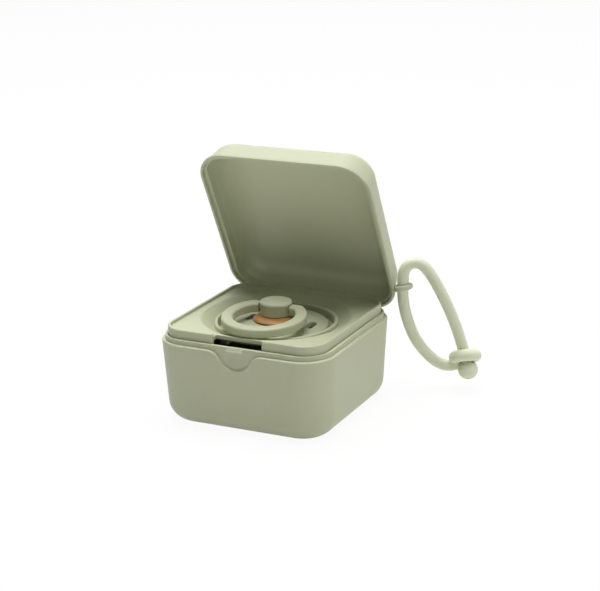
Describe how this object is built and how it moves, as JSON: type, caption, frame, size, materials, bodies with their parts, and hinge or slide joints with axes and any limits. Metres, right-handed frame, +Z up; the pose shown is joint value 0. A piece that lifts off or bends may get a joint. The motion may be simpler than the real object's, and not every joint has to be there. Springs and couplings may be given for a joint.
{
  "type": "pacifier box",
  "caption": "Square rounded case with an open hinged lid, lift-out tray that seats a round-shield pacifier with a ring, and a looped silicone carrying strap on the lid.",
  "frame": {"origin": "centre of the flat base of the box", "axes": "+Z up, +X to the right seen from the front, the front with the thumb notch faces -Y and the hinge is at +Y"},
  "size_m": [0.1094, 0.0934, 0.1056],
  "materials": {
    "box_plastic": "satin moulded polypropylene, sage green",
    "pacifier_plastic": "satin moulded polypropylene, sage green",
    "latex": "smooth natural latex, amber brown",
    "strap_silicone": "matt silicone, sage green"
  },
  "bodies": {
    "box": {"box_body": "box_plastic", "hinge_pin": "box_plastic"},
    "lid": {"lid": "box_plastic"},
    "strap": {"strap_cord": "strap_silicone", "strap_eyelet": "strap_silicone", "strap_ball": "strap_silicone"},
    "tray": {"tray": "box_plastic"},
    "pacifier": {"pacifier_shield": "pacifier_plastic", "pacifier_teat": "latex", "pacifier_plug": "pacifier_plastic", "pacifier_knob": "pacifier_plastic"},
    "ring": {"pacifier_ring": "pacifier_plastic"}
  },
  "joints": [
    {"name": "lid_hinge", "type": "hinge", "parent": "box", "child": "lid", "pos_m": [0, 0.03771, 0.03457], "axis": [-1, 0, 0], "range_deg": [-63.4, 31.6]},
    {"name": "strap_swivel", "type": "hinge", "parent": "lid", "child": "strap", "pos_m": [0.0411, 0.0357, 0.04597], "axis": [0, -0.1286, 0.9917], "range_deg": [-60, 25]},
    {"name": "tray_lift", "type": "slide", "parent": "box", "child": "tray", "axis": [0, 0, 1], "range_m": [0, 0.025]},
    {"name": "pacifier_lift", "type": "slide", "parent": "tray", "child": "pacifier", "axis": [0, 0, 1], "range_m": [0, 0.035]},
    {"name": "ring_swing", "type": "hinge", "parent": "pacifier", "child": "ring", "pos_m": [0, 0, 0.04245], "axis": [-0.9994, -0.0349, 0], "range_deg": [0, 172]}
  ]
}
